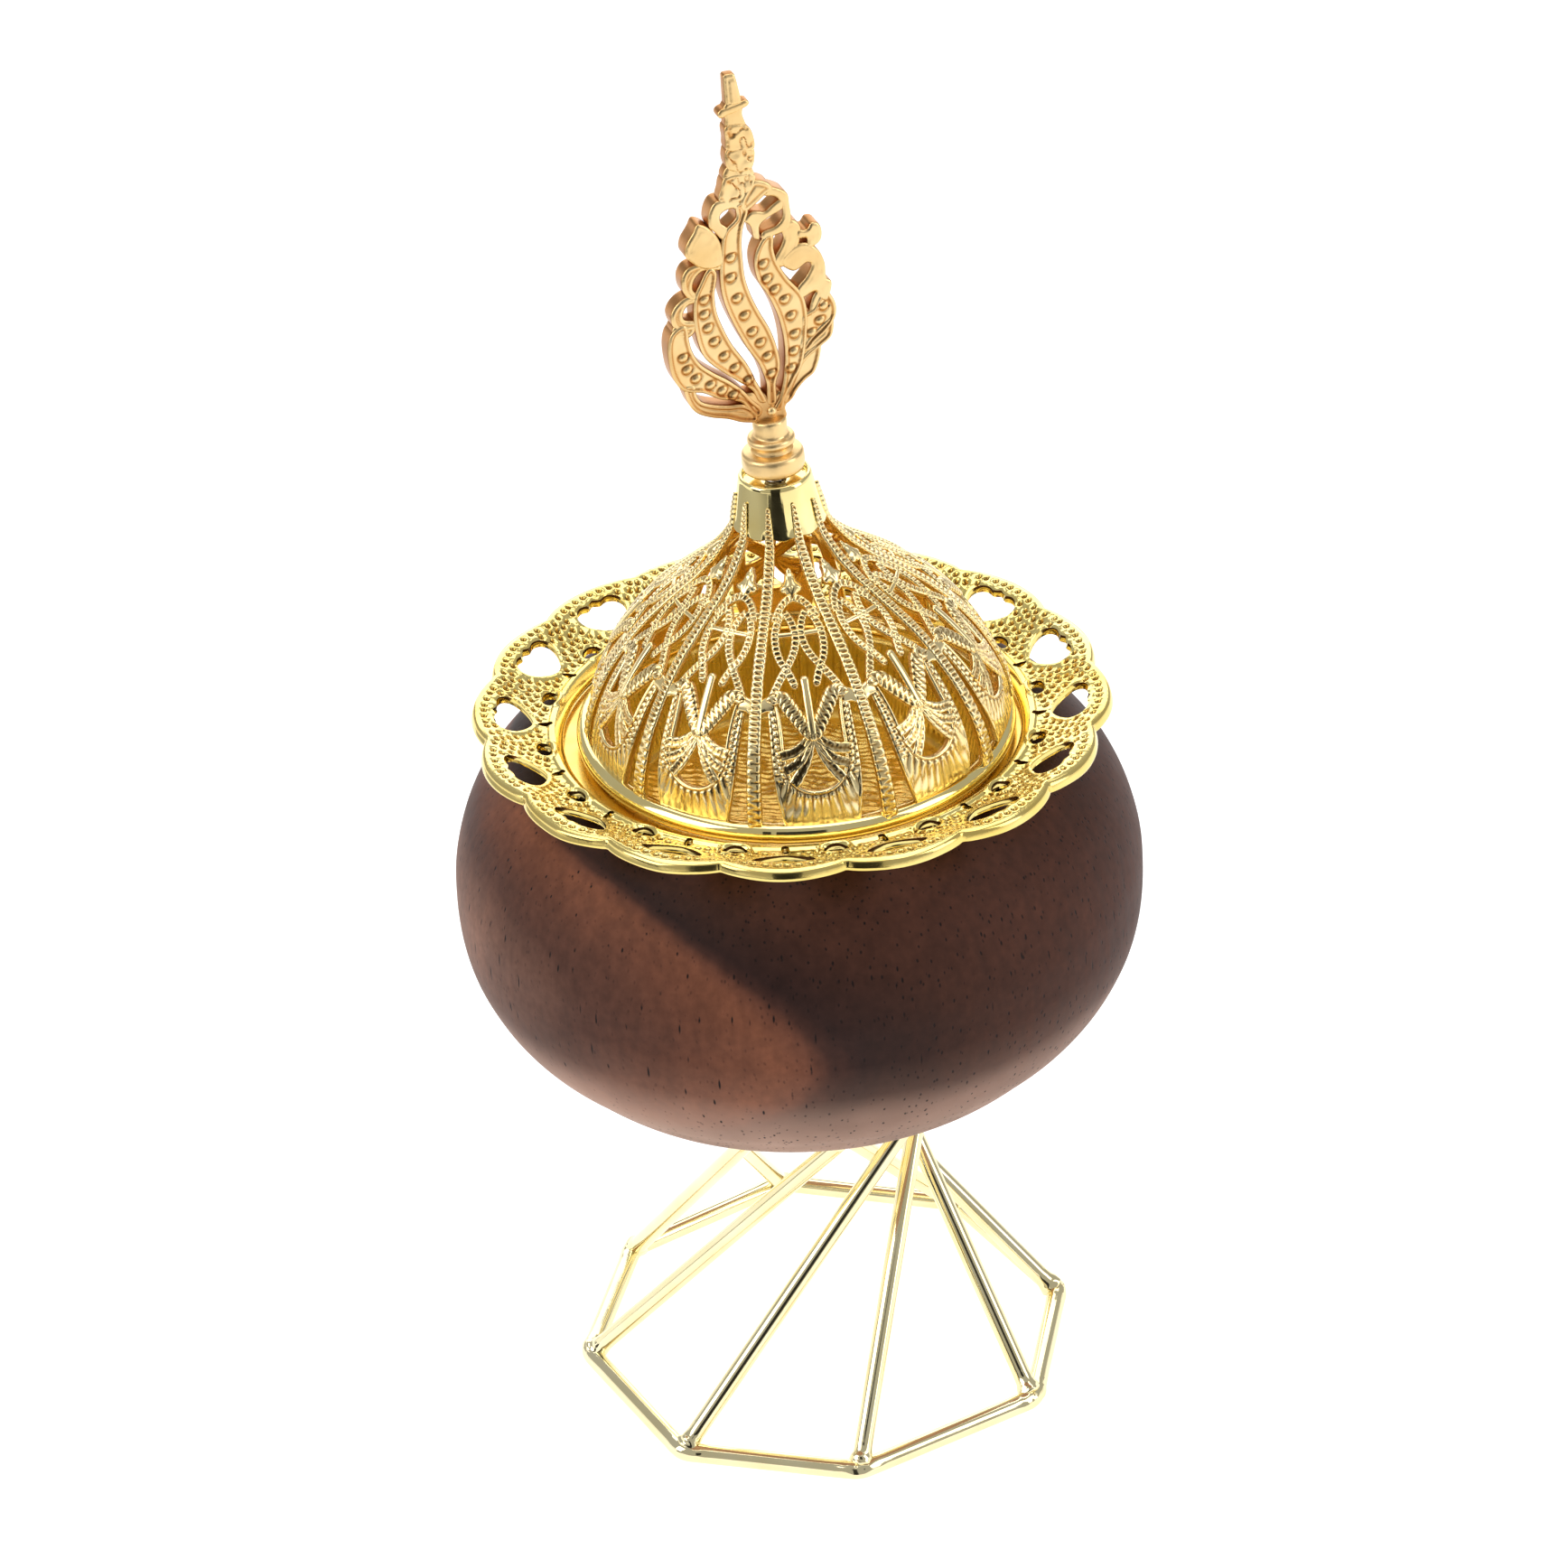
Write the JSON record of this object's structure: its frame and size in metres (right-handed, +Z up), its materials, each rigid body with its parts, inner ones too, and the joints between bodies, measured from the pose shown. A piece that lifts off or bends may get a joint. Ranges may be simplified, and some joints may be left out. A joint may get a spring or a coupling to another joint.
{
  "type": "incense burner",
  "caption": "Wooden ball incense burner on a skewed wire stand, with a pierced gold tray, an openwork domed lid that lifts off and a filigree finial.",
  "frame": {"origin": "point on the table under the centre of the wooden ball, at the bottom of the base ring", "axes": "+Z up along the stand and ball axis, -Y toward the front of the picture, +X to the right"},
  "size_m": [0.1, 0.1, 0.2115],
  "materials": {
    "stand_gold": "polished pale gold plating",
    "screw_steel": "plain zinc plated steel",
    "bowl_wood": "satin oiled dark walnut brown",
    "tray_gold": "bright polished gold plating",
    "cup_gold": "bright gold plating, fluted and rippled",
    "lid_gold": "mirror polished gold plating",
    "dome_gold": "polished gold plating on cast openwork",
    "finial_gold": "satin peach gold plating on cast filigree"
  },
  "bodies": {
    "stand_and_ball": {"base_ring": "stand_gold", "leg_1": "stand_gold", "leg_2": "stand_gold", "leg_3": "stand_gold", "leg_4": "stand_gold", "leg_5": "stand_gold", "leg_6": "stand_gold", "leg_7": "stand_gold", "leg_8": "stand_gold", "stand_plate": "stand_gold", "plate_screw": "screw_steel", "wooden_bowl": "bowl_wood"},
    "tray": {"tray_brim": "tray_gold", "tray_cup": "cup_gold"},
    "lid": {"lid_ring": "lid_gold", "lid_dome": "dome_gold", "lid_collar": "lid_gold"},
    "finial": {"finial_base": "finial_gold", "finial_leaf": "finial_gold", "finial_stud": "screw_steel", "finial_nut": "screw_steel"}
  },
  "joints": [
    {"name": "tray_lift", "type": "slide", "parent": "stand_and_ball", "child": "tray", "axis": [0, 0, 1], "range_m": [0, 0.05]},
    {"name": "lid_lift", "type": "slide", "parent": "tray", "child": "lid", "axis": [0, 0, 1], "range_m": [0, 0.06]},
    {"name": "finial_turn", "type": "hinge", "parent": "lid", "child": "finial", "pos_m": [-0.00072, 0, 0.15076], "axis": [-0.0436, 0, 0.999], "continuous": true}
  ]
}
